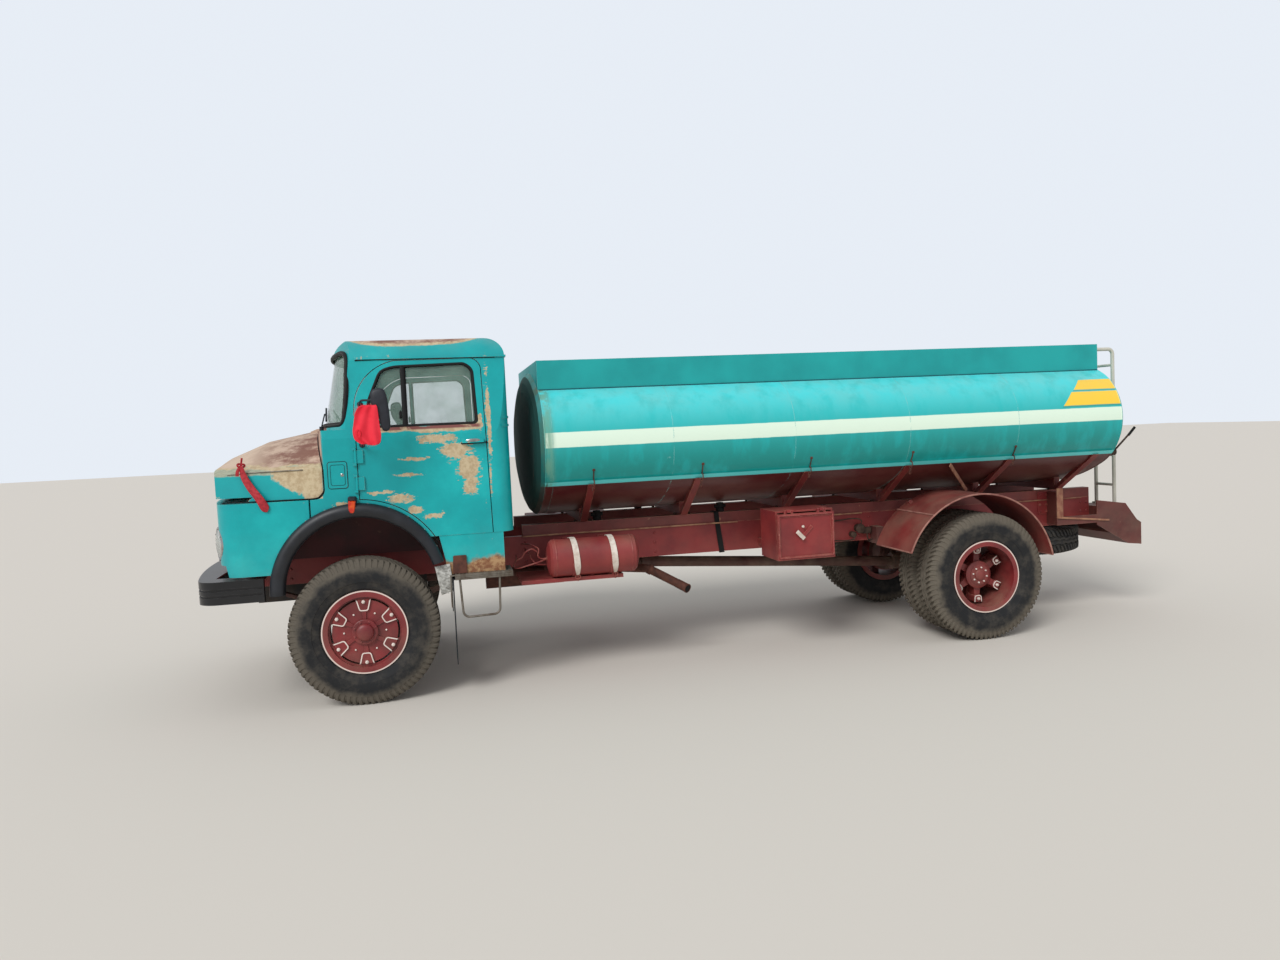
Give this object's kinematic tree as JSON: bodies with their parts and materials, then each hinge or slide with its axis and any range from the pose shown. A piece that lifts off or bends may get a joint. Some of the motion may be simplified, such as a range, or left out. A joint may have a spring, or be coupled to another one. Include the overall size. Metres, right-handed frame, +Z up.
{
  "type": "tanker truck",
  "caption": "Short-bonnet liquid tank truck with an oval tank, twin rear wheels, hinged doors and bonnet, and steered front wheels.",
  "frame": {"origin": "on the ground, at the middle of the overall length and width", "axes": "+X from the front bumper to the rear, +Y to the right of the truck, +Z up"},
  "size_m": [7.905, 2.7203, 2.59],
  "materials": {
    "cab_paint": "satin, worn",
    "tank_paint": "satin",
    "chassis_paint": "satin, dusty",
    "wheel_paint": "satin",
    "running_gear": "painted and dirty",
    "engine_metal": "oily",
    "tyre": "dusty",
    "black_rubber": "matte",
    "bumper_paint": "gloss",
    "window_glass": "clear",
    "lamp_glass": "ribbed",
    "lamp_amber": "gloss",
    "black_plastic": "matte",
    "red_cloth": "woven",
    "seat_cover": "worn",
    "step_metal": "ribbed, dusty",
    "rusty_pipe": "rusty",
    "ladder_paint": "satin",
    "valve_iron": "rusty"
  },
  "bodies": {
    "chassis": {"frame": "chassis_paint", "tank_bearers": "chassis_paint", "tank_shell": "tank_paint", "coaming": "tank_paint", "front_axle": "running_gear", "rear_axle": "running_gear", "leaf_springs": "running_gear", "engine": "engine_metal", "propshaft": "running_gear", "front_wings": "cab_paint", "headlamps": "lamp_glass", "arch_flares": "black_rubber", "wheelhouses": "chassis_paint", "front_bumper": "bumper_paint", "cab_body": "cab_paint", "cab_roof": "cab_paint", "cab_glass": "window_glass", "wipers": "black_plastic", "seats": "seat_cover", "dashboard": "black_plastic", "steering_wheel": "black_plastic", "cab_steps": "step_metal", "mudflaps": "black_rubber", "side_cylinder": "chassis_paint", "side_carrier": "chassis_paint", "fuel_tank": "chassis_paint", "exhaust": "rusty_pipe", "toolbox": "chassis_paint", "rear_mudguards": "chassis_paint", "spare_tyre": "tyre", "spare_carrier": "wheel_paint", "rear_tray": "chassis_paint", "ladder": "ladder_paint", "outlet_valve": "valve_iron", "lamps_small": "lamp_amber"},
    "steer_left": {"knuckle_left": "running_gear"},
    "steer_right": {"knuckle_right": "running_gear"},
    "tie_rod": {"tie_rod": "running_gear"},
    "wheel_front_left": {"front_tyre_left": "tyre", "front_rim_left": "wheel_paint"},
    "wheel_front_right": {"front_tyre_right": "tyre", "front_rim_right": "wheel_paint"},
    "wheel_rear_left": {"rear_tyres_left": "tyre", "rear_rims_left": "wheel_paint"},
    "wheel_rear_right": {"rear_tyres_right": "tyre", "rear_rims_right": "wheel_paint"},
    "door_left": {"door_left": "cab_paint", "door_glass_left": "window_glass", "mirror_left": "black_plastic", "mirror_cloth": "red_cloth"},
    "door_right": {"door_right": "cab_paint", "door_glass_right": "window_glass", "mirror_right": "black_plastic"},
    "bonnet": {"bonnet": "cab_paint", "grille": "cab_paint", "bonnet_ribbon": "red_cloth"},
    "toolbox_door": {"toolbox_door": "chassis_paint"},
    "manhole_lid": {"manhole_lid": "tank_paint"}
  },
  "joints": [
    {"name": "steering", "type": "hinge", "parent": "chassis", "child": "steer_left", "pos_m": [-2.7825, -0.88, 0.515], "axis": [0, 0, 1], "range_deg": [-32, 32]},
    {"name": "steering_right", "type": "hinge", "parent": "chassis", "child": "steer_right", "pos_m": [-2.7825, 0.88, 0.515], "axis": [0, 0, 1], "range_deg": [-32, 32]},
    {"name": "tie_rod_turn", "type": "hinge", "parent": "steer_left", "child": "tie_rod", "pos_m": [-2.6125, -0.88, 0.423], "axis": [0, 0, 1], "range_deg": [-32, 32]},
    {"name": "spin_front_left", "type": "hinge", "parent": "steer_left", "child": "wheel_front_left", "pos_m": [-2.7825, -0.99, 0.515], "axis": [0, 1, 0], "continuous": true},
    {"name": "spin_front_right", "type": "hinge", "parent": "steer_right", "child": "wheel_front_right", "pos_m": [-2.7825, 0.99, 0.515], "axis": [0, 1, 0], "continuous": true},
    {"name": "spin_rear_left", "type": "hinge", "parent": "chassis", "child": "wheel_rear_left", "pos_m": [2.0475, -1.005, 0.515], "axis": [0, 1, 0], "continuous": true},
    {"name": "spin_rear_right", "type": "hinge", "parent": "chassis", "child": "wheel_rear_right", "pos_m": [2.0475, 1.005, 0.515], "axis": [0, 1, 0], "continuous": true},
    {"name": "open_door_left", "type": "hinge", "parent": "chassis", "child": "door_left", "pos_m": [-2.7705, -1.104, 1.6], "axis": [0, 0, -1], "range_deg": [0, 70]},
    {"name": "open_door_right", "type": "hinge", "parent": "chassis", "child": "door_right", "pos_m": [-2.7705, 1.104, 1.6], "axis": [0, 0, 1], "range_deg": [0, 70]},
    {"name": "open_bonnet", "type": "hinge", "parent": "chassis", "child": "bonnet", "pos_m": [-3.0825, 0, 1.94], "axis": [0, 1, 0], "range_deg": [0, 50]},
    {"name": "open_toolbox", "type": "hinge", "parent": "chassis", "child": "toolbox_door", "pos_m": [0.5275, -1.042, 1.15], "axis": [-1, 0, 0], "range_deg": [0, 100]},
    {"name": "open_manhole", "type": "hinge", "parent": "chassis", "child": "manhole_lid", "pos_m": [0.4925, 0, 2.3685], "axis": [0, 1, 0], "range_deg": [0, 110]}
  ],
  "couplings": [
    {"joint": "steering_right", "follows": "steering", "ratio": 1},
    {"joint": "tie_rod_turn", "follows": "steering", "ratio": -1}
  ]
}
